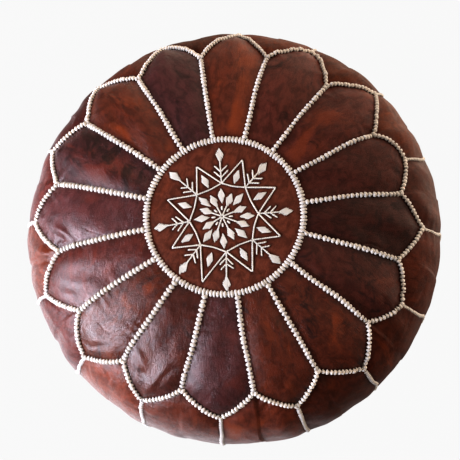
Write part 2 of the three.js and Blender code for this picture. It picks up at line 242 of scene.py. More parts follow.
def to_line(x, y, corners):
    """Distance of points to a bent line, how far along it they lie, and the line's length."""
    best, along, start = np.full(len(x), np.inf), np.zeros(len(x)), 0
    for a, b in zip(corners[:-1], corners[1:]):
        ex, ey = b[0] - a[0], b[1] - a[1]
        size = math.hypot(ex, ey)
        t = np.clip(((x - a[0]) * ex + (y - a[1]) * ey) / size ** 2, 0, 1)
        gap = np.hypot(x - a[0] - t * ex, y - a[1] - t * ey)
        along = np.where(gap < best, start + t * size, along)
        best = np.minimum(best, gap)
        start += size
    return best, along, start


def seam_distances(theta, length):
    """Distance over the surface to each kind of seam, and the place along the scallop seam."""
    share = folded(theta)
    r = outline("r", length)
    x = r * share * HALF
    past_shoulder = np.maximum(0, length - SHOULDER)
    before_ring = np.maximum(0, RING - length)
    steps = np.linspace(0, 1, 33)
    seam = scallop(steps)
    to_scallop, along, _ = to_line(x, length, np.stack([outline("r", seam) * steps * HALF, seam], 1))
    return {
        "ring": np.abs(length - RING),
        "radial": np.hypot(x, past_shoulder + before_ring),
        "scallop": to_scallop,
        "side": np.hypot(r * (1 - share) * HALF, np.maximum(0, TIP - length)),
        "base": np.abs(END - length),
    }, along


def nearest_seam(distances):
    return np.minimum.reduce(list(distances.values()))


# ------------------------------------------------------------------ relief of the stuffed leather

# How deep each kind of seam pulls the leather in, and how far from the seam.
PILLOW = {
    "ring": (1.6 * MM, 11 * MM),
    "radial": (2.6 * MM, 12 * MM),
    "scallop": (3.0 * MM, 12 * MM),
    "side": (3.0 * MM, 14 * MM),
}
PILLOW_POWER = 1.6
SWELL = 1.6 * MM
GROOVE = 1.5 * MM
GROOVE_WIDTH = 1.7 * MM
PUCKER = 0.50 * MM
SOFT_FOLD = 0.75 * MM
CREASE = 1.0 * MM
ROLL = 0.14 * MM


def panel_number(theta):
    return np.floor(np.mod(theta, TURN) / STEP)


def puckers(theta, length, distances, along):
    """Short gathers square to each seam, deeper in some places than others."""
    side = panel_number(theta)
    below = (length > scallop(folded(theta))).astype(float)
    upper = 1 - smooth(length, TIP, TIP + 50 * MM)
    height = 0
    seams = [
        ("scallop", along + 0.31 * below, 1.5, 15 * MM),
        ("radial", length, 0.7, 11 * MM),
        ("side", length, 1.0, 16 * MM),
        ("ring", theta * RING_R, 0.45, 8 * MM),
    ]
    for n, (name, run, amount, reach) in enumerate(seams):
        across = distances[name]
        fine = field(11 + n, run / (9 * MM), side * 5.3, across / (45 * MM))
        where = field(31 + n, run / (60 * MM), side * 3.1)
        height = height + amount * fine * np.exp(-across / reach) * smooth(where, -0.6, 1.4)
    return PUCKER * height * (0.35 + 0.65 * upper)


def creases(theta, length):
    """Soft folds and thin creases that run mostly up and down each piece."""
    x = np.mod(theta, STEP) * np.maximum(outline("r", length), 40 * MM)
    edge = scallop(folded(theta))
    piece = panel_number(theta + np.where(length < edge, 0, HALF)) + 20 * (length > edge)
    soft = field(3, x / (48 * MM), length / (95 * MM), piece * 2.7)
    warp = 9 * MM * field(5, x / (40 * MM), length / (40 * MM), piece)
    line = field(7, (x + warp) / (34 * MM), (length - warp) / (80 * MM), piece * 1.9)
    mask = field(9, x / (50 * MM), length / (60 * MM), piece * 4.1)
    rolls = field(13, x / (19 * MM), length / (24 * MM), piece * 3.3)
    sharp = bell(line, 0.13) * smooth(mask, 0.2, 1.5) * np.where(piece < 20, 0.55, 0.25)
    return SOFT_FOLD * soft - CREASE * sharp + ROLL * rolls


# Folds and dents after the photo: height and half-width in mm, then the line's places, in degrees
# from +X and mm from the crown over the leather.
FOLDS = [
    (1.7, 6.0, [(171, 220), (175, 196), (179, 188)]),
    (-1.8, 4.5, [(177, 216), (176, 206), (178, 198)]),
    (1.0, 3.5, [(173, 204), (176, 193)]),
    (-2.4, 3.6, [(182, 280), (181, 261), (181, 243), (181.5, 229)]),
    (2.0, 5.0, [(177.5, 252), (178.5, 236), (180, 229)]),
    (-1.8, 3.5, [(179, 228), (182, 226), (184, 231)]),
    (1.2, 8.0, [(187, 226), (191, 205), (196, 185), (199, 168)]),
    (-1.5, 7.0, [(193, 222), (196.5, 209), (200, 198)]),
    (-2.8, 4.5, [(190, 268), (195, 247), (200, 236)]),
    (1.4, 6.0, [(195, 272), (203, 258), (209, 252)]),
    (-1.3, 3.5, [(211, 229), (215, 224)]),
    (2.3, 11.0, [(203.4, 236), (203.4, 212), (203.6, 180)]),
    (-0.9, 12.0, [(214, 208), (213, 182)]),
    (-1.3, 4.5, [(213, 229), (214, 221), (217, 214)]),
    (1.3, 4.5, [(226, 186), (230, 194), (234, 205)]),
    (1.1, 4.5, [(240, 192), (238, 214), (236, 238)]),
    (-0.7, 4.0, [(249, 172), (244, 186), (240.5, 199), (238, 226)]),
    (-1.8, 6.0, [(231, 214), (235, 206)]),
    (-0.8, 5.0, [(146, 222), (153, 210)]),
    (0.9, 5.0, [(285, 120), (288, 160), (292, 190)]),
    (-0.9, 3.5, [(100, 112), (101, 99)]),
]


def folds(theta, length):
    """Height of the folds and dents, each fading towards the ends of its line."""
    height = np.zeros(len(theta))
    for depth, width, line in FOLDS:
        turn, along = (np.array(values, float) for values in zip(*line))
        middle = math.radians(turn.mean())
        span = outline("r", along.mean() * MM)
        x = (np.mod(theta - middle + math.pi, TURN) - math.pi) * span
        y = length - along.mean() * MM
        near = np.flatnonzero(np.hypot(x, y) < 80 * MM)
        corners = np.stack([(np.radians(turn) - middle) * span, (along - along.mean()) * MM], 1)
        gap, place, run = to_line(x[near], y[near], corners)
        taper = 0.35 + 0.65 * np.sin(math.pi * place / run)
        height[near] += depth * MM * taper * bell(gap, width * MM)
    return height


def relief(theta, length, groove=True):
    """Height of the leather over the plain outline."""
    distances, along = seam_distances(theta, length)
    # the seams pull less deep near the medallion
    pull = 0.30 + 0.70 * smooth(length, RING, SHOULDER)
    height = SWELL + folds(theta, length)
    for name, (depth, width) in PILLOW.items():
        height -= depth * pull * np.exp(-((distances[name] / width) ** PILLOW_POWER))
    off_crown = smooth(length, RING * 0.7, RING + 30 * MM)
    height += (puckers(theta, length, distances, along) + creases(theta, length)) * (0.15 + 0.85 * off_crown)
    if groove:
        height -= GROOVE * bell(nearest_seam(distances), GROOVE_WIDTH)
    return height * (1 - smooth(length, REST_START - 60 * MM, REST_START - 4 * MM))


# The side seams lean one way round the pouf, and all seams run a little unevenly.
SIDE_SWAY = math.radians(1.3)
SWAY_AZIMUTH = math.radians(292)
UNEVENNESS = 0.0035

# The medallion is sewn a little off the middle, and its seam runs a little wide of the drawing.
MEDALLION_SHIFT = (1.5 * MM, -0.2 * MM)
MEDALLION_SPREAD = 1.0 * MM

# Between the side seams the stuffed panels pull flatter than a true circle, most at FLATTEST.
FLATTEN = 0.68
FLATTEN_SWING = 0.18
FLATTEST = 2.7


def around(theta, offset, trait):
    """A trait of the petals, run smoothly round the pouf from its value at (k + offset) steps."""
    places = (np.arange(-1, PETALS + 2) + offset) * STEP
    values = [getattr(PETAL_ROWS[k % PETALS], trait) for k in range(-1, PETALS + 2)]
    return np.interp(np.mod(theta, TURN), places, values)


def wobble(theta, length):
    """The hand-made drift of the seams: the drawn place of each nominal point."""
    share = folded(theta)
    near_ring = bell(length - RING, 45 * MM) * smooth(length, 0, RING)
    near_shoulder = bell(length - SHOULDER, 55 * MM) * (1 - share)
    near_tip = bell(length - TIP, 60 * MM) * share
    below = plateau(length, TIP, TIP + 20 * MM, TIP + 60 * MM, BELLY + 90 * MM) * share
    side = plateau(length, TIP, TIP + 40 * MM, BELLY + 40 * MM, BELLY + 120 * MM) * share
    low = plateau(length, TIP + 36 * MM, TIP + 76 * MM, BELLY + 20 * MM, BELLY + 100 * MM) * share
    turn = np.radians(around(theta, 0, "shoulder_lean")) * near_shoulder
    turn += np.radians(around(theta, 0.5, "tip_lean")) * np.maximum(near_tip, below)
    turn += UNEVENNESS * field(41, theta * 2.2, length / (90 * MM)) * smooth(length, 0, RING)
    turn += np.radians(around(theta, 0.5, "side_lean")) * side
    turn -= SIDE_SWAY * np.sin(SWAY_AZIMUTH - theta) * low
    spread = around(theta, 0, "shoulder_reach") * near_shoulder
    spread += around(theta, 0.5, "tip_reach") * near_tip
    return theta + turn, length + spread * MM + MEDALLION_SPREAD * near_ring


def skin(theta, length, lift=0.0, groove=True):
    """Points of the leather's outer face, or lift metres above it."""
    height = relief(theta, length, groove) + lift
    drawn, moved = wobble(theta, length)
    flat = math.cos(HALF) / np.cos(folded(theta) * HALF)
    strength = FLATTEN + FLATTEN_SWING * np.cos(theta - FLATTEST)
    strength = strength * plateau(length, RING, TIP + 20 * MM, REST_START - 90 * MM, REST_START)
    r = outline("r", moved) * (1 + strength * (flat - 1)) + outline("nr", moved) * height
    z = outline("z", moved) + outline("nz", moved) * height
    off = 1 - smooth(length, RING, SHOULDER)
    x = r * np.cos(drawn) + MEDALLION_SHIFT[0] * off
    y = r * np.sin(drawn) + MEDALLION_SHIFT[1] * off
    return np.stack([x, y, z], -1)


def skin_normal(theta, length):
    drawn, moved = wobble(theta, length)
    nr = outline("nr", moved)
    return np.stack([nr * np.cos(drawn), nr * np.sin(drawn), outline("nz", moved)], -1)


# ------------------------------------------------------------------ meshes

def add_object(name, data):
    made = bpy.data.objects.new(name, data)
    bpy.context.scene.collection.objects.link(made)
    return made


def quad_mesh(name, points, quads):
    """An object of points (n, 3) and quads (m, 4), smooth shaded."""
    mesh = bpy.data.meshes.new(name)
    mesh.vertices.add(len(points))
    mesh.vertices.foreach_set("co", np.asarray(points, np.float32).ravel())
    mesh.loops.add(quads.size)
    mesh.loops.foreach_set("vertex_index", np.asarray(quads, np.int32).ravel())
    mesh.polygons.add(len(quads))
    mesh.polygons.foreach_set("loop_start", np.arange(0, quads.size, 4, dtype=np.int32))
    mesh.update(calc_edges=True)
    mesh.polygons.foreach_set("use_smooth", np.ones(len(quads), bool))
    return add_object(name, mesh)


def unit(vectors):
    return vectors / np.linalg.norm(vectors, axis=-1, keepdims=True)


def grid_quads(rows, columns, wrap=False):
    """Quads of a (rows, columns) grid of points, facing up its row direction x column direction."""
    i, j = np.meshgrid(np.arange(rows - 1), np.arange(columns if wrap else columns - 1), indexing="ij")
    i, j = i.ravel(), j.ravel()
    right = (j + 1) % columns
    return np.stack([i * columns + j, (i + 1) * columns + j, (i + 1) * columns + right,
                     i * columns + right], 1)


def disc_quads(count):
    """Quads that fill a ring of points 0 to count - 1, strip by strip, anticlockwise."""
    i = np.arange(count // 2 - 1)
    return np.stack([i, i + 1, count - 2 - i, count - 1 - i], 1)


def capped_quads(rows, columns):
    """Quads of a tube of rings of points, filled in at both ends."""
    cap = disc_quads(columns)
    return np.concatenate([grid_quads(rows, columns, wrap=True), cap, cap[:, ::-1] + (rows - 1) * columns])


def slab(outer, inner):
    """Closed sheet between two (rows, columns, 3) grids: its points and quads."""
    rows, columns = outer.shape[:2]
    count = rows * columns
    face = grid_quads(rows, columns)
    index = np.arange(count).reshape(rows, columns)
    rim = np.concatenate([index[0, :-1], index[:-1, -1], index[-1, :0:-1], index[:0:-1, 0]])
    after = np.roll(rim, -1)
    quads = [face, face[:, ::-1] + count, np.stack([rim, after, after + count, rim + count], 1)]
    return np.concatenate([outer.reshape(-1, 3), inner.reshape(-1, 3)]), np.concatenate(quads)


def round_slab(outer, inner):
    """Closed sheet between two grids of rings, the first ring of each filled in."""
    rows, columns = outer.shape[:2]
    count = rows * columns
    face = grid_quads(rows, columns, wrap=True)
    rim = np.arange(count - columns, count)
    after = np.roll(rim, -1)
    cap = disc_quads(columns)
    quads = [face, face[:, ::-1] + count, np.stack([rim, rim + count, after + count, after], 1),
             cap, cap[:, ::-1] + count]
    return np.concatenate([outer.reshape(-1, 3), inner.reshape(-1, 3)]), np.concatenate(quads)


def tube(path, radius, around=8, closed=False):
    """Points and quads of a round tube along a path, capped at its ends unless it is a loop."""
    path = np.asarray(path, float)
    ahead = np.roll(path, -1, axis=0) - np.roll(path, 1, axis=0) if closed else np.gradient(path, axis=0)
    ahead = unit(ahead)
    guide = [1.0, 0.0, 0.0] if np.abs(ahead[:, 0]).max() < 0.95 else [0.0, 0.0, 1.0]
    first = unit(np.cross(ahead, guide))
    second = np.cross(ahead, first)
    angle = (np.arange(around) * TURN / around)[:, None]
    ring = first[:, None] * np.cos(angle) + second[:, None] * np.sin(angle)
    points = (path[:, None] + radius * ring).reshape(-1, 3)
    if not closed:
        return points, capped_quads(len(path), around)[:, ::-1]
    start = np.arange(around)
    last = start + (len(path) - 1) * around
    joint = np.stack([last, np.roll(last, -1), np.roll(start, -1), start], 1)
    return points, np.concatenate([grid_quads(len(path), around, wrap=True)[:, ::-1], joint])


def merged(shapes):
    """Several (points, quads) shapes as one."""
    points, quads, start = [], [], 0
    for p, q in shapes:
        points.append(p)
        quads.append(q + start)
        start += len(p)
    return np.concatenate(points), np.concatenate(quads)


def finish_piece(piece, slot, material, *nodes, body="pouf"):
    piece.data.materials.append(material)
    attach(piece, body)
    if nodes:
        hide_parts(*nodes)


def eased(count):
    """count + 1 shares from -1 to 1, closer together towards both ends."""
    t = np.linspace(-1, 1, count + 1)
    return 0.45 * t + 0.55 * np.sin(t * math.pi / 2)


# ------------------------------------------------------------------ material helpers

class Nodes:
    """A short way to add nodes to a material or a world."""

    def __init__(self, owner, shader="Principled BSDF"):
        owner.use_nodes = True
        self.owner = owner
        self.tree = owner.node_tree
        self.shader = self.tree.nodes[shader]

    def link(self, value, socket):
        """Feeds a socket from another socket, or sets its number, vector or colour."""
        if isinstance(value, bpy.types.NodeSocket):
            self.tree.links.new(value, socket)
        elif socket.type == "RGBA":
            socket.default_value = (*value, 1.0)
        else:
            socket.default_value = value

    def set(self, node=None, **inputs):
        """Feeds a node's inputs by name, with _ for a space; the shader's if no node is given."""
        node = self.shader if node is None else node
        for name, value in inputs.items():
            self.link(value, node.inputs[name.replace("_", " ")])

    def add(self, kind, *values, settings=(), **inputs):
        """A node, its settings as (name, value) pairs, and its inputs by place and by name."""
        node = self.tree.nodes.new("ShaderNode" + kind)
        for name, value in settings:
            setattr(node, name, value)
        for value, socket in zip(values, node.inputs):
            self.link(value, socket)
        self.set(node, **inputs)
        return node

    def attribute(self, name, output):
        return self.add("Attribute", settings=[("attribute_name", name)]).outputs[output]

    def place(self, output="Object"):
        return self.add("TexCoord").outputs[output]

    def vector(self, operation, a, b):
        return self.add("VectorMath", a, b, settings=[("operation", operation)])

    def scaled(self, vector, scale):
        """A place in waves: scale is waves per metre, along each axis or along all."""
        scale = scale if isinstance(scale, tuple) else (scale, scale, scale)
        return self.vector("MULTIPLY", vector, scale).outputs[0]

    def noise(self, vector, scale, detail, roughness, distortion=0.0):
        return self.add("TexNoise", Vector=self.scaled(vector, scale), Scale=1.0, Detail=detail,
                        Roughness=roughness, Distortion=distortion).outputs["Fac"]

    def math(self, operation, a, b):
        return self.add("Math", a, b, settings=[("operation", operation)]).outputs[0]

    def between(self, value, low, high, to_low=0.0, to_high=1.0):
        """A soft step from to_low, where value is low, to to_high, where it is high."""
        return self.add("MapRange", settings=[("interpolation_type", "SMOOTHSTEP")], Value=value,
                        From_Min=low, From_Max=high, To_Min=to_low, To_Max=to_high).outputs["Result"]

    def mix(self, factor, a, b):
        """Colour a where factor is 0 and b where it is 1."""
        node = self.add("Mix", factor, settings=[("data_type", "RGBA")])
        self.link(a, node.inputs[6])
        self.link(b, node.inputs[7])
        return node.outputs[2]

    def bump(self, height, distance, strength=1.0, normal=None):
        under = {} if normal is None else {"Normal": normal}
        return self.add("Bump", Height=height, Distance=distance, Strength=strength, **under).outputs[0]


def shade(colour, factor):
    return tuple(channel * factor for channel in colour)


def new_material(name):
    return Nodes(bpy.data.materials.new(name))


# ------------------------------------------------------------------ leather

def leather_material(name, dye, tone, glow, cloud, nap, seed, gloss):
    """Hand-dyed, waxed goat leather: ground dye, rubbed glow, deep clouds, wrinkles and pores, darker
    towards the seams partly as painted shade.
    """
    n = new_material(name)
    ground = shade(DYES[dye], tone)
    turned = n.add("VectorRotate", settings=[("rotation_type", "Z_AXIS")],
                   Vector=n.attribute("grain", "Vector"), Angle=math.radians(nap))
    place = n.vector("ADD", turned.outputs[0], (seed * 0.37, seed * 0.61, seed * 0.13)).outputs[0]
    drift = n.noise(place, (24, 14, 24), 3, 0.5, 0.8)
    clouds = n.noise(place, (42, 30, 42), 5, 0.62, 1.0)
    blotch = n.noise(place, (110, 80, 110), 5, 0.62, 0.6)
    streak = n.noise(place, (380, 80, 380), 4, 0.6, 0.6)
    grain = n.noise(place, (900, 620, 900), 4, 0.65, 0.3)
    wrinkle = n.noise(place, (250, 120, 250), 5, 0.62, 0.5)
    edge = n.attribute("seam", "Fac")

    def ragged(value, amount):
        return n.math("ADD", value, n.math("MULTIPLY", n.math("SUBTRACT", streak, 0.5), amount))

    colour = n.mix(n.between(ragged(blotch, 0.2), 0.34, 0.66), shade(ground, 0.70), shade(ground, 1.30))
    warm = n.between(ragged(drift, 0.12), 0.64 - 0.26 * glow, 0.78 - 0.20 * glow, 0.0, min(1.0, 0.3 + glow))
    warm = n.math("MULTIPLY", warm, n.between(edge, 2 * MM, 22 * MM, 0.3, 1.0))
    colour = n.mix(warm, colour, GLOWS[dye])
    dark = n.between(ragged(clouds, 0.16), 0.70 - 0.34 * cloud, 0.84 - 0.32 * cloud, 0.0,
                     min(0.92, 0.45 + 0.7 * cloud))
    colour = n.mix(dark, colour, DYES["deep"])
    colour = n.mix(n.between(grain, 0.45, 0.75, 0.0, 0.30), colour, shade(ground, 0.30))
    colour = n.mix(n.between(grain, 0.22, 0.42, 0.15, 0.0), colour, shade(ground, 1.8))
    # darker towards each seam: partly darker dye there, partly painted shade in the seam's hollow
    colour = n.mix(n.between(edge, 0.0, 11 * MM, 0.45, 0.0), colour, DYES["deep"])
    # painted shadow: a near-black line right beside the stitches and round the embroidery threads
    colour = n.mix(n.between(edge, 0.3 * MM, 2.6 * MM, 0.75, 0.0), colour, shade(DYES["deep"], 0.5))

    cells = n.add("TexVoronoi", settings=[("feature", "DISTANCE_TO_EDGE")], Vector=n.scaled(n.place(), 850))
    pores = n.noise(n.place(), 2400, 2, 0.5)
    normal = None
    for height, distance, strength in (
        (blotch, 0.10, 1.0),
        (wrinkle, 0.11, 1.0),
        (streak, 0.34, 1.0),
        (grain, 0.36, 1.0),
        (n.between(cells.outputs["Distance"], 0.0, 0.35), 0.03, 0.8),
        (pores, 0.015, 0.8),
    ):
        normal = n.bump(height, distance * MM, strength, normal)

    rough = n.between(clouds, 0.3, 0.7, 0.37 - 0.20 * gloss, 0.50 - 0.20 * gloss)
    rough = n.math("ADD", rough, n.between(grain, 0.3, 0.7, -0.04, 0.06))
    n.set(Base_Color=colour, Roughness=rough, Normal=normal, IOR=1.5, Specular_IOR_Level=0.16 + 0.40 * gloss)
    return n.owner


def leather_piece(node, sheet, seam, grain, slot, dye):
    """A leather sheet, with its distance to a seam and its place on the hide for the material; the material
    darkens it near seams, partly as painted shade.
    """
    piece = quad_mesh(node + "_leather", *sheet)
    for name, kind, key, values in (("seam", "FLOAT", "value", seam),
                                    ("grain", "FLOAT_VECTOR", "vector", grain)):
        made = piece.data.attributes.new(name, kind, "POINT")
        made.data.foreach_set(key, np.concatenate([values, values]).astype(np.float32).ravel())
    finish_piece(piece, slot, dye, node)


def panel(node, slot, dye, middle, gap, columns, rows, edges):
    """A petal or side panel: a sheet over a grid of nominal angles and arc lengths.

    It stands back from the seams beside it by the angle gap. edges gives the arc lengths of its
    upper and lower edge at a share across it: 0 in its middle, 1 at the seams beside it."""
    across, down = np.meshgrid(columns, rows)
    start, stop = edges(np.abs(across))
    theta = (middle + across * (HALF - gap)).ravel()
    length = (start + (stop - start) * down).ravel()
    outer = skin(theta, length)
    inner = outer - skin_normal(theta, length) * LEATHER
    grid = (*across.shape, 3)
    seam = nearest_seam(seam_distances(theta, length)[0])
    grain = np.stack([(theta - theta.mean()) * outline("r", length), length, 0 * length], 1)
    leather_piece(node, slab(outer.reshape(grid), inner.reshape(grid)), seam, grain, slot, dye)


def polish(angle):
    """How waxed a petal is: most on the photo's left, at 210 degrees, and least across from there."""
    return 0.55 - 0.50 * math.cos(angle - math.radians(30))


def petals():
    def edges(across):
        return RING + EDGE_GAP, scallop(1 - across) - 1.5 * EDGE_GAP

    for k, petal in enumerate(PETAL_ROWS):
        node = f"petal_{k + 1:02d}"
        middle = (k + 0.5) * STEP
        dye = leather_material(node + "_leather", *petal[:5], k + 1, polish(middle))
        panel(node, "leather_" + PETAL_SLOTS[k], dye, middle, EDGE_GAP / outline("r", SHOULDER),
              eased(52), (eased(96) + 1) / 2, edges)


def side_panels():
    def edges(across):
        return scallop(across) + 1.5 * EDGE_GAP, END - EDGE_GAP

    for k, (colour, tone, glow, cloud, gloss) in enumerate(SIDE_ROWS):
        node = f"side_panel_{k + 1:02d}"
        dye = leather_material(node + "_leather", colour, tone, glow, cloud, 0, 30 + k, gloss)
        panel(node, "leather_rust", dye, k * STEP, EDGE_GAP / BELLY_R,
              eased(60), np.linspace(0, 1, 171) ** 1.08, edges)


def medallion():
    """The round embroidered piece: rings about the middle, dented where the threads lie."""
    turns = np.linspace(0, TURN, 432, endpoint=False)
    turn, length = np.meshgrid(turns, np.linspace(0.01, 1, 110) * (RING - EDGE_GAP))
    outer = skin(turn.ravel(), length.ravel())
    thread_gap = embroidery_distance(outer[:, 0], outer[:, 1])
    outer[:, 2] -= 0.35 * MM * bell(thread_gap, 1.6 * MM)
    rings = outer.reshape(*turn.shape, 3)
    # this distance also runs round the embroidery, so the material paints a shadow round its threads
    seam = np.minimum(RING - length.ravel(), 2 * thread_gap + 1 * MM)
    dye = leather_material("medallion_leather", "tan", 0.92, 0.10, 0.10, 30, 77, 0.0)
    leather_piece("medallion", round_slab(rings, rings - np.array([0, 0, LEATHER])), seam, outer,
                  "leather_rust", dye)


# ------------------------------------------------------------------ thread

THREAD_COLOUR = (0.590, 0.568, 0.530)
THREAD_AGE = (0.966, 0.90, 0.81)
CORE_STEP = 2.2 * MM


def thread_material(name, colour=THREAD_COLOUR):
    n = new_material(name)
    yellowed = tuple(channel * age for channel, age in zip(colour, THREAD_AGE))
    fibre = n.noise(n.place(), 1500, 3, 0.6)
    tone = n.noise(n.place(), 45, 3, 0.6)
    aged = n.noise(n.place(), 75, 2, 0.5)
    base = n.mix(n.between(tone, 0.3, 0.7), shade(colour, 0.90), shade(colour, 1.06))
    base = n.mix(n.between(aged, 0.52, 0.70, 0.0, 0.5), base, yellowed)
    base = n.mix(n.between(fibre, 0.35, 0.7, 0.0, 0.20), base, shade(colour, 0.66))
    n.set(Base_Color=base, Roughness=0.85, Normal=n.bump(fibre, 0.12 * MM, 0.6), Sheen_Weight=0.25,
          Sheen_Roughness=0.4, Subsurface_Weight=0.35, Subsurface_Scale=1.6 * MM,
          Subsurface_Radius=(1.0, 0.9, 0.8))
    return n.owner


def bead_template(around=12, dive=0.40, blunt=2.2):
    """One wrap of thread: a unit tube bowed over the seam, twisted, with both ends going down.

    Its rings of points are across the seam (-1 to 1), along it and up, in shares of its size."""
    t = np.sin(np.linspace(-1, 1, 9) * math.pi / 2)
    body = np.clip(1 - np.abs(t) ** blunt, 0, 1) ** 0.5
    body[0] = body[-1] = 0.30
    tt, aa = np.meshgrid(t, np.arange(around) * TURN / around, indexing="ij")
    radius = body[:, None] * (1 + 0.07 * np.cos(3 * aa + 4.2 * tt))
    return np.stack([tt, radius * np.cos(aa), radius * np.sin(aa) * 0.9 - dive * tt ** 2], -1)


def beads(centre, across, along, up, length, width, seed, template=None, lean=0.05, tall=1.0):
    """Points and quads of thread wraps: length runs across the seam and width along it."""
    shape = bead_template() if template is None else template
    rng = np.random.default_rng(seed)
    count = len(centre)
    tilt = rng.normal(lean, 0.4 * abs(lean) + 0.01, count)[:, None]
    size = rng.normal(1, 0.06, (count, 3))
    across, along = across + along * tilt, along - across * tilt
    scale = np.stack([length * size[:, 0], width * size[:, 1], width * tall * size[:, 2]], 1) / 2
    local = shape.reshape(1, -1, 3) * scale[:, None]
    points = (centre[:, None] + local[..., :1] * across[:, None] + local[..., 1:2] * along[:, None]
              + local[..., 2:] * up[:, None])
    starts = np.arange(count) * local.shape[1]
    quads = (capped_quads(*shape.shape[:2])[None] + starts[:, None, None]).reshape(-1, 4)
    inward = (np.cross(across, along) * up).sum(1).mean() > 0
    return points.reshape(-1, 3), quads[:, ::-1] if inward else quads


def seam_beads(name, node, thread, theta, length, pitch, wrap, width, lift, seed, closed=False, tall=1.0):
    """Thread wraps at an even pitch over a core cord, along a seam of nominal angles and lengths.

    pitch, wrap, width and lift are in mm: wrap is a bead's size across the seam, width along it."""
    pitch, wrap, width, lift = (size * MM for size in (pitch, wrap, width, lift))
    # a hair to one side, where the relief of a single piece decides the height
    line = skin(theta + 1e-5, length - 1e-5, lift, groove=False)
    travelled = np.concatenate([[0], np.cumsum(np.linalg.norm(np.diff(line, axis=0), axis=1))])
    whole = travelled[-1]
    count = max(2, round(whole / pitch))
    stops = (np.arange(count) + (0 if closed else 0.5)) * whole / count
    stops += np.random.default_rng(seed).normal(0, 0.05 * pitch, count)

    def at(s, values):
        return np.interp(s, travelled, values)

    def place(s):
        return np.stack([at(s, line[:, c]) for c in range(3)], 1)

    def up_at(s):
        return skin_normal(at(s, theta), at(s, length))

    along = unit(place(stops + 0.5 * MM) - place(stops - 0.5 * MM))
    up = up_at(stops)
    wraps = beads(place(stops), unit(np.cross(along, up)), along, up, wrap, width, seed, tall=tall)
    ends = np.arange(0, whole, CORE_STEP)
    core = tube(place(ends) - up_at(ends) * 0.30 * width, 0.26 * width, 8, closed)
    finish_piece(quad_mesh(name, *merged([wraps, core])), "thread", thread, node)


def round_seam(name, node, thread, length, *sizes):
    turns = np.linspace(0, TURN, 721)
    seam_beads(name, node, thread, turns, np.full(721, length), *sizes, closed=True)


def stitching(thread, painted_lighter_thread):
    round_seam("medallion_stitching", "medallion_braid", thread, RING, 4.23, 8.0, 4.1, 1.1, 100)
    share = np.concatenate([np.linspace(0, 1, 60), np.linspace(1, 0, 60)[1:]])
    radial = np.linspace(RING + 2.8 * MM, SHOULDER - 1.0 * MM, 120)
    side = np.linspace(TIP + 2.0 * MM, REST_START - 18 * MM, 300)
    for k in range(PETALS):
        number = f"{k + 1:02d}"
        # the wraps are tighter on the far side
        wrap = 6.7 + 0.6 * math.cos(k * STEP - math.radians(200))
        side_wrap = 5.0 + 1.0 * math.cos(k * STEP - math.radians(215))
        seam_beads("radial_stitching_" + number, "radial_braid_" + number, thread,
                   np.full(120, k * STEP), radial, 5.3, wrap, 5.0, 1.3, 120 + k)
        # the scallop wraps use a lighter copy of the thread: painted light to lift wraps that sit in shade
        seam_beads("scallop_stitching_" + number, "scallop_and_side_braid", painted_lighter_thread,
                   k * STEP + np.linspace(0, STEP, 119), scallop(share), 4.8, wrap - 0.6, 4.4, 2.2,
                   150 + k, tall=1.25)
        seam_beads("side_stitching_" + number, "scallop_and_side_braid", thread,
                   np.full(300, (k + 0.5) * STEP), side, 3.2, side_wrap, 3.0, 0.1, 180 + k)


# ------------------------------------------------------------------ embroidery on the medallion

EMBROIDERY_CENTRE = (-1.1 * MM, -1.1 * MM)
EMBROIDERY_TURN = math.radians(-4)
ARMS = 8
ARM = TURN / ARMS

# Each arm one by one, anticlockwise from +X, as pairs of radius (mm) and turn from even spacing
# (degrees): the valley of the star with its branch's end, then the star's point, the free lozenge
# under the valley and the joined lozenge under the point.
Arm = namedtuple("Arm", "valley branch point free joined")
ARM_ROWS = [
    Arm((42.5, -1.0), (74.0, -1.0), (71.5, 1.0), (29.5, -4.5), (22.0, -6.0)),
    Arm((44.0, 2.0), (73.5, 1.0), (72.0, -1.5), (27.5, -2.5), (21.0, -5.0)),
    Arm((40.0, -3.5), (74.0, -2.0), (68.0, -0.5), (25.0, -2.5), (20.5, 1.0)),
    Arm((40.0, -1.5), (75.0, -1.0), (68.5, -0.5), (27.5, 0.0), (19.5, -2.0)),
    Arm((39.0, 3.0), (73.0, 4.0), (69.5, 4.5), (24.0, 0.5), (18.5, 5.0)),
    Arm((42.0, 3.0), (75.0, 3.0), (80.5, 1.0), (28.5, 3.5), (23.0, 0.5)),
    Arm((42.5, 2.0), (79.0, -1.0), (75.0, 1.0), (29.5, -1.5), (22.5, -1.0)),
    Arm((45.5, 1.5), (79.5, 0.5), (72.5, -2.0), (30.0, -2.0), (25.5, -3.0)),
]


def polar(radius, angle):
    return np.array([radius * math.cos(angle), radius * math.sin(angle)])


def lozenge(middle, heading, length, width, widest):
    """Corners of a kite round its middle: inner tip, left, outer tip, right. Sizes are in mm."""
    side = np.array([-heading[1], heading[0]]) * width * MM / 2
    start = middle - heading * length * MM / 2
    waist = start + heading * length * MM * widest
    return [start, waist + side, start + heading * length * MM, waist - side]


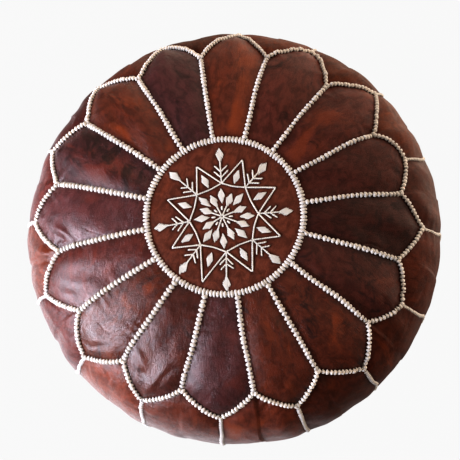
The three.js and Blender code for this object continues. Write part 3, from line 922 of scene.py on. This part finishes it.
def embroidery_plan():
    """Flat shapes of the medallion: thread lines, lozenges (4 corners) and seeds (2 ends)."""
    rng = np.random.default_rng(8)
    lines, lozenges, seeds = [], [], []

    def spot(pair, step):
        radius, turn = pair
        return polar(radius * MM, step * ARM + math.radians(turn) + EMBROIDERY_TURN)

    valleys = [spot(arm.valley, k) for k, arm in enumerate(ARM_ROWS)]
    for k, arm in enumerate(ARM_ROWS):
        here, after, point = valleys[k], valleys[(k + 1) % ARMS], spot(arm.point, k + 0.5)
        bud, free, joined = spot(arm.branch, k), spot(arm.free, k), spot(arm.joined, k + 0.5)
        out = unit(bud - here)
        side = np.array([-out[1], out[0]])
        # the star and the octagon inside it, then the branch with two pairs of twigs
        lines += [[here, point], [point, after], [here, 0.965 * (here + after) / 2, after]]
        lines.append([here, bud - out * 7 * MM])
        for root, reach in ((7, 11.5), (14.0, 10.5)):
            for turn in (-1, 1):
                spread = math.radians(48 + rng.normal(0, 4))
                away = out * math.cos(spread) + side * turn * math.sin(spread)
                start = here + out * root * MM
                lines.append([start, start + away * (reach + rng.normal(0, 0.6)) * MM])
        lozenges.append(lozenge(bud, out, 18.5, 9.4, 0.58))
        lozenges.append(lozenge((here + after + point) / 3, unit(point), 18, 7.8, 0.5))
        lozenges.append(lozenge(free, unit(free), 18.5, 8.0, 0.52))
        lozenges.append(lozenge(joined, unit(joined), 17.5, 8.2, 0.55))
        lines.append([unit(joined) * 0.8 * MM, joined - unit(joined) * 7 * MM])
        seeds.append([unit(free) * 7.8 * MM, unit(free) * 12.6 * MM])
    return [[np.array(shape) + EMBROIDERY_CENTRE for shape in group] for group in (lines, lozenges, seeds)]


EMBROIDERY = embroidery_plan()


def embroidery_distance(x, y):
    """Distance from points of the medallion to the nearest embroidery thread."""
    lines, lozenges, seeds = EMBROIDERY
    near = np.hypot(x - EMBROIDERY_CENTRE[0], y - EMBROIDERY_CENTRE[1]) < 90 * MM
    x, y = x[near], y[near]
    found = np.full(len(x), 1.0)
    for shape in lines + seeds:
        found = np.minimum(found, to_line(x, y, shape)[0] - 0.8 * MM)
    for corners in lozenges:
        loop = np.concatenate([corners, corners[:1]])
        sides = np.array([(b - a)[0] * (y - a[1]) - (b - a)[1] * (x - a[0])
                          for a, b in zip(loop[:-1], loop[1:])])
        inside = np.all(sides < 0, 0) | np.all(sides > 0, 0)
        found = np.minimum(found, np.where(inside, 0, to_line(x, y, loop)[0]))
    best = np.full(len(near), 1.0)
    best[near] = np.maximum(found, 0)
    return best


def on_top(points, lift):
    """Flat points of the medallion, raised to its leather."""
    theta = np.arctan2(points[:, 1], points[:, 0])
    crown = {name: values[:CROWN_POINTS] for name, values in OUTLINE.items()}
    length = np.interp(np.hypot(points[:, 0], points[:, 1]), crown["r"], crown["length"])
    place = skin(theta, length, lift)
    place[:, :2] = points
    return place


def stitches(name, thread, starts, ends, width, lift, seed, blunt=4.5):
    """Straight threads from each start to each end, lying on the medallion. Sizes are in mm."""
    starts, ends = (on_top(np.array(points), lift * MM) for points in (starts, ends))
    across = unit(ends - starts)
    along = unit(np.cross([0.0, 0.0, 1.0], across))
    lengths = np.linalg.norm(ends - starts, axis=1)
    made = beads((starts + ends) / 2, across, along, np.cross(across, along), lengths, width * MM, seed,
                 bead_template(8, 0.35, blunt), 0.02)
    finish_piece(quad_mesh(name, *made), "thread", thread)


def embroidery(thread):
    """Stem stitch along the lines, one stitch a seed, and satin stitch across the lozenges."""
    lines, lozenges, seeds = EMBROIDERY
    stem, step, slant = 3.9 * MM, 2.6 * MM, 0.28 * MM
    starts, ends = [], []
    for path in lines:
        run = np.concatenate([[0], np.cumsum(np.linalg.norm(np.diff(path, axis=0), axis=1))])
        count = max(1, round((run[-1] - stem) / step) + 1)
        for s in np.linspace(0, max(0, run[-1] - stem), count):
            a, b = (np.array([np.interp(d, run, path[:, c]) for c in range(2)])
                    for d in (s, min(s + stem, run[-1])))
            side = unit(np.array([a[1] - b[1], b[0] - a[0]])) * slant
            starts.append(a - side)
            ends.append(b + side)
    stitches("embroidery_lines", thread, starts, ends, 1.9, 0.50, 201, 2.0)
    stitches("embroidery_seeds", thread, [seed[0] for seed in seeds], [seed[1] for seed in seeds],
             2.2, 0.45, 202)
    strands = 9
    starts, ends = [], []
    for inner, left, outer, right in lozenges:
        for t in (np.arange(strands) + 0.5) / strands:
            start, end = inner + (right - inner) * t, left + (outer - left) * t
            over = (end - start) * 0.07
            starts.append(start - over)
            ends.append(end + over)
    stitches("embroidery_lozenges", thread, starts, ends, 1.12, 0.42, 203)


# ------------------------------------------------------------------ underside

SLIT_HALF_LENGTH = 128 * MM
SLIT_HALF_WIDTH = 5 * MM


def base_height(x, y):
    """Height of the base leather over its flat: it sags, with gathers along the round seam."""
    edge = np.maximum(0, BASE_SEAM_R - np.hypot(x, y))
    gathers = field(61, np.arctan2(y, x) * BASE_SEAM_R / (11 * MM), edge / (60 * MM))
    soft = field(62, x / (70 * MM), y / (70 * MM))
    past_end = np.maximum(0, np.abs(x) - SLIT_HALF_LENGTH)
    past_side = np.maximum(0, np.abs(y) - SLIT_HALF_WIDTH)
    calm = smooth(np.hypot(past_end, past_side), 4 * MM, 30 * MM)
    sag = 0.5 * MM * smooth(edge, 0, 30 * MM)
    return -calm * (sag + 0.35 * MM * gathers * np.exp(-edge / (14 * MM)) + 0.22 * MM * soft)


def base_half(sign, node):
    """Half of the round base, from the zip's slit to the round seam."""
    turns = np.linspace(0, math.pi, 321)
    seam_edge = 2 * EDGE_GAP
    ix = (BASE_SEAM_R - 2 * MM) * np.cos(turns)
    in_slit = smooth(-np.abs(ix), -SLIT_HALF_LENGTH - 1.5 * MM, -SLIT_HALF_LENGTH + 1.5 * MM)
    iy = seam_edge + (SLIT_HALF_WIDTH - seam_edge) * in_slit
    ox = (BASE_SEAM_R - EDGE_GAP) * np.cos(turns)
    oy = np.maximum(seam_edge, (BASE_SEAM_R - EDGE_GAP) * np.sin(turns))
    share = np.linspace(0, 1, 81)[:, None]
    x = (ix + (ox - ix) * share) * sign
    y = (iy + (oy - iy) * share) * sign
    outer = np.stack([x, y, BASE_Z + base_height(x, y)], -1)
    seam = np.maximum(0, np.minimum(BASE_SEAM_R - np.hypot(x, y), y * sign)).ravel()
    dye = leather_material(node + "_leather", "rust", 0.9, 0.15, 0.20, 0, 60 + sign, 1.0)
    leather_piece(node, slab(outer + np.array([0, 0, LEATHER]), outer), seam, outer.reshape(-1, 3),
                  "leather_chestnut", dye)


# ------------------------------------------------------------------ zip

TAPE_HALF_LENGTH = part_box("zip_half_back")[1].x
TAPE_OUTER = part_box("zip_half_back")[1].y
TAPE_Z = 12.8 * MM
TAPE = 0.8 * MM
COIL_PITCH = 2.0 * MM
COIL_HALF_LENGTH = 122 * MM
COIL_CENTRE = (1.85 * MM, 12.9 * MM)
COIL_RADII = (0.95 * MM, 1.0 * MM)
COIL_WIRE = 0.32 * MM
TOPSTITCH_PITCH = 4.2 * MM
TOPSTITCH_ROWS = (7.6 * MM, 11.4 * MM)

# The slider's two wings, from its underside up, and the bar that the puller hangs from.
WING_LOW = (9 * MM, 10.4 * MM)
WING_HIGH = (15 * MM, 16.2 * MM)
FLANGE_LOW_TOP = 12.2 * MM
FLANGE_HIGH_FOOT = 13.9 * MM
FLANGE = 0.9 * MM
BAR_X = 112 * MM
BAR_Z = 7.8 * MM
TAB = 1.2 * MM
CAST_VOXEL = 0.16 * MM


def tape_material(name):
    n = new_material(name)
    weave = n.add("TexWave", settings=[("bands_direction", "DIAGONAL")], Vector=n.scaled(n.place(), 1100),
                  Scale=1.0, Distortion=0.6).outputs["Fac"]
    tone = n.noise(n.place(), 120, 3, 0.6)
    colour = n.mix(weave, (0.014, 0.009, 0.007), (0.045, 0.030, 0.024))
    colour = n.mix(n.between(tone, 0.35, 0.7, 0.0, 0.35), colour, (0.06, 0.045, 0.038))
    n.set(Base_Color=colour, Roughness=0.85, Normal=n.bump(weave, 0.12 * MM, 0.8), Sheen_Weight=0.3,
          Sheen_Roughness=0.5)
    return n.owner


def coil_material(name):
    n = new_material(name)
    tone = n.noise(n.place(), 300, 2, 0.5)
    n.set(Base_Color=n.mix(tone, (0.020, 0.012, 0.009), (0.050, 0.032, 0.024)),
          Roughness=n.between(tone, 0.2, 0.8, 0.28, 0.42), IOR=1.5)
    return n.owner


def brass_material(name):
    n = new_material(name)
    tone = n.noise(n.place(), 180, 4, 0.6)
    scratch = n.noise(n.place(), (300, 4000, 4000), 2, 0.5)
    colour = n.mix(n.between(tone, 0.35, 0.7), (0.52, 0.36, 0.16), (0.36, 0.22, 0.10))
    n.set(Base_Color=colour, Metallic=1.0, Roughness=n.between(tone, 0.3, 0.75, 0.26, 0.48),
          Normal=n.bump(scratch, 0.02 * MM, 0.6))
    return n.owner


def zip_tapes(cloth, coil):
    """Each half: a woven, ribbed tape and a spiral of teeth."""
    for sign, node in ((1, "zip_half_back"), (-1, "zip_half_front")):
        x, y = np.meshgrid(np.linspace(-TAPE_HALF_LENGTH, TAPE_HALF_LENGTH, 281),
                           np.linspace(2.4 * MM, TAPE_OUTER, 15))
        ripple = 0.05 * MM * np.sin(x * TURN / (23 * MM)) * smooth(y, 5 * MM, TAPE_OUTER)
        rib = 0.07 * MM * np.cos(y * TURN / (3.4 * MM))
        low = np.stack([x * sign, y * sign, TAPE_Z + 0.1 * MM + ripple + rib], -1)
        high = low + np.array([0, 0, TAPE - 0.25 * MM])
        finish_piece(quad_mesh(node.replace("half", "tape"), *slab(high, low)), "zip_tape", cloth, node)
        x = np.arange(-COIL_HALF_LENGTH, COIL_HALF_LENGTH, COIL_PITCH / 14)
        phase = TURN * x / COIL_PITCH + (math.pi if sign > 0 else 0)
        y = COIL_CENTRE[0] + COIL_RADII[0] * np.cos(phase)
        z = COIL_CENTRE[1] + COIL_RADII[1] * np.sin(phase)
        spiral = tube(np.stack([x, y * sign, z], 1), COIL_WIRE, 6)
        finish_piece(quad_mesh(node.replace("half", "coil"), *spiral), "zip_coil", coil, node)


def zip_topstitching(thread):
    """Two rows of short stitches hold the base leather to the zip tapes."""
    for sign, name in ((1, "back"), (-1, "front")):
        places = np.arange(-SLIT_HALF_LENGTH, SLIT_HALF_LENGTH + TOPSTITCH_PITCH / 2, TOPSTITCH_PITCH)
        x, y = (grid.ravel() for grid in np.meshgrid(places, np.array(TOPSTITCH_ROWS) * sign))
        centre = np.stack([x, y, BASE_Z + base_height(x, y) - 0.20 * MM], 1)
        axes = [np.tile(axis, (len(x), 1)) for axis in ([1.0, 0, 0], [0, 1.0, 0], [0, 0, -1.0])]
        rows = beads(centre, *axes, 3.1 * MM, 0.8 * MM, 250 + sign, bead_template(8), 0.02)
        finish_piece(quad_mesh(f"zip_topstitching_{name}", *rows), "thread", thread)


def prism(loop, z0, z1):
    """Points and quads of an upright prism over a loop with an even number of corners."""
    points = np.array([(x, y, z) for z in (z0, z1) for x, y in loop])
    return points, capped_quads(2, len(loop))[:, ::-1]


def block(x_ends, y_ends, z_ends):
    (x0, x1), (y0, y1), (z0, z1) = x_ends, sorted(y_ends), z_ends
    return prism([(x0, y0), (x1, y0), (x1, y1), (x0, y1)], z0, z1)


def flat_tube(path, thickness, width):
    """A strap along a path in the XZ plane: its width runs along Y."""
    side = np.cross(unit(np.gradient(path, axis=0)), [0.0, 1.0, 0.0])
    y = np.array([0, width / 2, 0])
    t = side * thickness / 2
    rings = np.stack([path - t - y, path + t - y, path + t + y, path - t + y], 1)
    return rings.reshape(-1, 3), capped_quads(len(path), 4)


def cast(name, shapes, rounds):
    """Melts overlapping closed shapes into one smooth casting."""
    rough = quad_mesh(name + "_rough", *merged(shapes))
    melt = rough.modifiers.new("melt", "REMESH")
    melt.mode = "VOXEL"
    melt.voxel_size = CAST_VOXEL
    soften = rough.modifiers.new("soften", "SMOOTH")
    soften.factor = 0.5
    soften.iterations = rounds
    graph = bpy.context.evaluated_depsgraph_get()
    mesh = bpy.data.meshes.new_from_object(rough.evaluated_get(graph))
    mesh.name = name
    bpy.data.objects.remove(rough)
    mesh.polygons.foreach_set("use_smooth", np.ones(len(mesh.polygons), bool))
    return add_object(name, mesh)


def zip_slider(brass):
    """A cast slider: two tapered wings, four side flanges, a wedge between the tapes and a bail."""
    low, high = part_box("zip_slider")
    middle = (low.x + high.x) / 2
    shapes = []
    half = [(middle + x * MM, y * MM) for x, y in ((-6, 3.4), (-3.5, 4.5), (6, 4.5))]
    for wing in (WING_LOW, WING_HIGH):
        shapes.append(prism([(x, -y) for x, y in half] + half[::-1], *wing))
    flange_x = (middle - 3.5 * MM, high.x)
    for sign in (-1, 1):
        flange_y = (sign * (high.y - FLANGE), sign * high.y)
        shapes.append(block(flange_x, flange_y, (WING_LOW[0] + 1 * MM, FLANGE_LOW_TOP)))
        shapes.append(block(flange_x, flange_y, (FLANGE_HIGH_FOOT, WING_HIGH[0] + 0.6 * MM)))
    shapes.append(block((high.x - 3.5 * MM, high.x), (-0.5 * MM, 0.5 * MM),
                        (WING_LOW[0] + 1 * MM, WING_HIGH[0] + 0.6 * MM)))
    t = np.linspace(0, math.pi, 25)
    rise = 3.45 * MM * np.clip(np.sin(t), 0, 1) ** 0.6
    bail = np.stack([middle + 3.1 * MM * np.cos(t), 0 * t, WING_LOW[0] + 0.5 * MM - rise], 1)
    shapes.append(flat_tube(bail, 1.2 * MM, 2.0 * MM))
    finish_piece(cast("zip_slider_body", shapes, 4), "zip_metal", brass, "zip_slider", body="slider")


def zip_puller(brass):
    """A pull tab with a window round the bail, a raised rim and a bar as its hinge pin."""
    low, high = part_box("zip_puller")
    half = high.y
    tab_z = (BAR_Z - TAB / 2, BAR_Z + TAB / 2)
    window = 1.75 * MM
    arms = [block((BAR_X - 7.6 * MM, BAR_X), (sign * window, sign * half), tab_z) for sign in (-1, 1)]
    end = low.x + half
    tab = [(BAR_X - 7.0 * MM, -half)]
    for t in np.linspace(-math.pi / 2, -1.5 * math.pi, 24):
        tab.append((end + half * math.cos(t), half * math.sin(t)))
    tab.append((BAR_X - 7.0 * MM, half))
    plate = prism(tab[::-1], tab_z[0] + 0.22 * MM, tab_z[1] - 0.22 * MM)
    inset = 0.55 * MM
    rim = [(x + (inset if x < end else 0), y * (1 - inset / half), BAR_Z) for x, y in tab]
    bar = [(BAR_X, y, BAR_Z) for y in np.linspace(-half, half, 9)]
    shapes = [*arms, plate, tube(rim, 0.58 * MM, 8), tube(bar, 0.78 * MM, 14)]
    finish_piece(cast("zip_puller_tab", shapes, 3), "zip_metal", brass, "zip_puller", body="puller")


# ------------------------------------------------------------------ what is inside

BAG_FLOOR_Z = 18 * MM
BAG_INSET = 10.5 * MM
BAG = 1.2 * MM
FILL_INSET = 14.5 * MM
MIDDLE = np.array([0, 0, 140 * MM])


def cotton_material(name, colour):
    n = new_material(name)
    weave = n.noise(n.place(), 900, 2, 0.6)
    tone = n.noise(n.place(), 25, 4, 0.6)
    base = n.mix(n.between(tone, 0.3, 0.7), shade(colour, 0.86), colour)
    base = n.mix(n.between(weave, 0.35, 0.7, 0.0, 0.25), base, shade(colour, 0.6))
    n.set(Base_Color=base, Roughness=0.92, Normal=n.bump(weave, 0.15 * MM, 0.6), Sheen_Weight=0.2,
          Sheen_Roughness=0.6)
    return n.owner


def inner_profile(inset, down, floor_end, across):
    """Radius and height of rings down a bag, inset metres inside the outline, and over its floor."""
    length = np.linspace(0.5 * MM, REST_START - 20 * MM, down)
    floor = BAG_FLOOR_Z + inset - BAG_INSET
    r = np.maximum(outline("r", length) - outline("nr", length) * inset, 0.5 * MM)
    z = np.maximum(outline("z", length) - outline("nz", length) * inset, floor)
    inward = np.linspace(r[-1] - 4 * MM, floor_end, across)
    return np.concatenate([r, inward]), np.concatenate([z, np.full(across, floor)])


def drawn_in(points, depth):
    return points + unit(MIDDLE - points) * depth


def liner(cotton):
    """The cotton bag that holds the stuffing, gathered round its mouth under the zip."""
    r, z = inner_profile(BAG_INSET, 150, 20 * MM, 46)
    turn, rr = np.meshgrid(np.arange(192) * TURN / 192, r)
    zz = z[:, None] + 0 * turn
    under = smooth(np.arange(len(r)), 150, 195)[:, None]
    hills = field(71, rr * np.cos(turn) / (60 * MM), rr * np.sin(turn) / (60 * MM), zz / (90 * MM))
    wrinkle = 0.8 * MM * hills
    pleats = 1.1 * MM * np.cos(24 * turn) * under
    inward = smooth(rr, 0, 40 * MM)
    rr = rr - wrinkle * inward * 0.5
    zz = zz - wrinkle * 0.4 * (1 - under) * inward + (pleats + 1.2 * MM) * under
    outer = np.stack([rr * np.cos(turn), rr * np.sin(turn), zz], -1)
    piece = quad_mesh("cotton_liner", *round_slab(outer, drawn_in(outer, BAG)))
    finish_piece(piece, "liner_cotton", cotton, "liner")


def stuffing(cotton):
    """Lumpy cotton wadding that fills the bag."""
    r, z = inner_profile(FILL_INSET, 110, 0.5 * MM, 40)
    turn, rr = np.meshgrid(np.arange(160) * TURN / 160, r)
    points = np.stack([rr * np.cos(turn), rr * np.sin(turn), z[:, None] + 0 * turn], -1)
    lumps = 1.0 * MM * np.clip(field(72, *np.moveaxis(points / (38 * MM), -1, 0)), -2, 2) + 2.2 * MM
    points = drawn_in(points, lumps[..., None])
    piece = quad_mesh("cotton_stuffing", points.reshape(-1, 3), capped_quads(*turn.shape))
    finish_piece(piece, "stuffing_cotton", cotton, "stuffing")


# ------------------------------------------------------------------ floor, light and camera

# The background's brightness, and the place in degrees, size in metres and colour of the window.
FLOOR_GLOW = 0.66
WINDOW_AZIMUTH, WINDOW_ELEVATION, WINDOW_DISTANCE = 193, 27, 1.6
WINDOW_WIDTH, WINDOW_HEIGHT, WINDOW_WATTS = 1.35, 0.32, 39
WINDOW_COLOUR = (0.95, 0.94, 1.08)
WINDOW_AIM = Vector((0, 0, 0.15))

ROOM = (0.175, 0.155, 0.14)
BRIGHT_SIDE = (0.22, 0.22, 0.24)
WARM_SIDE = (1.95, 1.60, 1.33)
BRIGHT_FLOOR = (1.30, 1.27, 1.37)

# The photo's view: the camera's direction from its target and its roll in degrees, lens in mm.
CAMERA_AZIMUTH, CAMERA_TILT, CAMERA_ROLL = -73.25, 12.44, -8.65
CAMERA_DISTANCE = 1.8
CAMERA_TARGET = Vector((-2.9 * MM, 9.2 * MM, 150 * MM))
CAMERA_LENS = 111.4


def direction(azimuth, elevation):
    a, e = math.radians(azimuth), math.radians(elevation)
    return Vector((math.cos(a) * math.cos(e), math.sin(a) * math.cos(e), math.sin(e)))


def floor():
    """A pale floor, seen only from above. The studio shines past it, so it casts nothing back."""
    n = new_material("floor")
    tone = n.noise(n.place(), 3, 3, 0.5)
    n.set(Base_Color=n.mix(tone, (0.002, 0.002, 0.002), (0.003, 0.003, 0.003)), Roughness=0.9,
          Specular_IOR_Level=0.0, Emission_Color=(1.0, 1.0, 1.0), Emission_Strength=FLOOR_GLOW)
    sides = n.add("MixShader", n.add("NewGeometry").outputs["Backfacing"], n.shader.outputs[0],
                  n.add("BsdfTransparent").outputs[0])
    n.set(n.tree.nodes["Material Output"], Surface=sides.outputs[0])
    size, height = 6.0, -0.3 * MM
    corners = [(-size, -size, height), (size, -size, height), (size, size, height), (-size, size, height)]
    piece = quad_mesh("floor", corners, np.array([[0, 1, 2, 3]]))
    piece.data.materials.append(n.owner)
    piece.visible_glossy = False
    piece.visible_diffuse = False
    piece.visible_shadow = False


def window():
    lamp = bpy.data.lights.new("window", "AREA")
    lamp.shape = "RECTANGLE"
    lamp.size = WINDOW_WIDTH
    lamp.size_y = WINDOW_HEIGHT
    lamp.energy = WINDOW_WATTS
    lamp.color = WINDOW_COLOUR
    toward = direction(WINDOW_AZIMUTH, WINDOW_ELEVATION)
    holder = add_object("window", lamp)
    holder.location = WINDOW_AIM + toward * WINDOW_DISTANCE
    holder.rotation_euler = toward.to_track_quat("Z", "Y").to_euler()


def studio_world():
    """Dim surroundings, warm across from the window, cool towards it over a lit floor."""
    n = Nodes(bpy.data.worlds.new("studio"), "Background")

    def toward(azimuth, elevation, low, high):
        dot = n.vector("DOT_PRODUCT", n.place("Generated"), direction(azimuth, elevation))
        return n.between(dot.outputs["Value"], low, high)

    colour = n.mix(toward(WINDOW_AZIMUTH, 10, 0.3, 0.98), ROOM, BRIGHT_SIDE)
    colour = n.mix(toward(40, 0, 0.1, 1.0), colour, WARM_SIDE)
    colour = n.mix(toward(WINDOW_AZIMUTH, -42, 0.55, 0.97), colour, BRIGHT_FLOOR)
    seen = n.add("LightPath").outputs["Is Camera Ray"]
    n.set(Color=n.mix(seen, colour, (FLOOR_GLOW, FLOOR_GLOW, FLOOR_GLOW)))
    bpy.context.scene.world = n.owner


def camera():
    lens = bpy.data.cameras.new("camera")
    lens.lens = CAMERA_LENS
    lens.sensor_width = 36
    lens.clip_end = 20
    back = direction(CAMERA_AZIMUTH, 90 - CAMERA_TILT)
    roll = math.radians(CAMERA_ROLL)
    right = Vector((-math.sin(roll), math.cos(roll), 0)).cross(back).normalized()
    turn = Matrix((right, back.cross(right), back)).transposed()
    holder = add_object("camera", lens)
    holder.matrix_world = Matrix.Translation(CAMERA_TARGET + back * CAMERA_DISTANCE) @ turn.to_4x4()
    bpy.context.scene.camera = holder


camera()
studio_world()
window()
floor()
bpy.context.scene.view_settings.view_transform = "Standard"
bpy.context.scene.view_settings.look = "High Contrast"

medallion()
petals()
side_panels()
# scallop_thread is the same thread, painted lighter for the scallop wraps in shade
stitching(thread_material("stitching_thread"), thread_material("scallop_thread", (0.71, 0.68, 0.63)))
embroidery(thread_material("embroidery_thread", (0.66, 0.65, 0.60)))
base_half(1, "base_half_back")
base_half(-1, "base_half_front")
round_seam("base_stitching", "base_braid", thread_material("base_thread"), END, 5.2, 6.4, 4.8, 0.7, 240)
zip_tapes(tape_material("zip_tape"), coil_material("zip_coil"))
zip_topstitching(thread_material("topstitch_thread", (0.30, 0.17, 0.11)))
brass = brass_material("zip_brass")
zip_slider(brass)
zip_puller(brass)
stuffing(cotton_material("stuffing_cotton", (0.78, 0.74, 0.66)))
liner(cotton_material("liner_cotton", (0.74, 0.68, 0.58)))
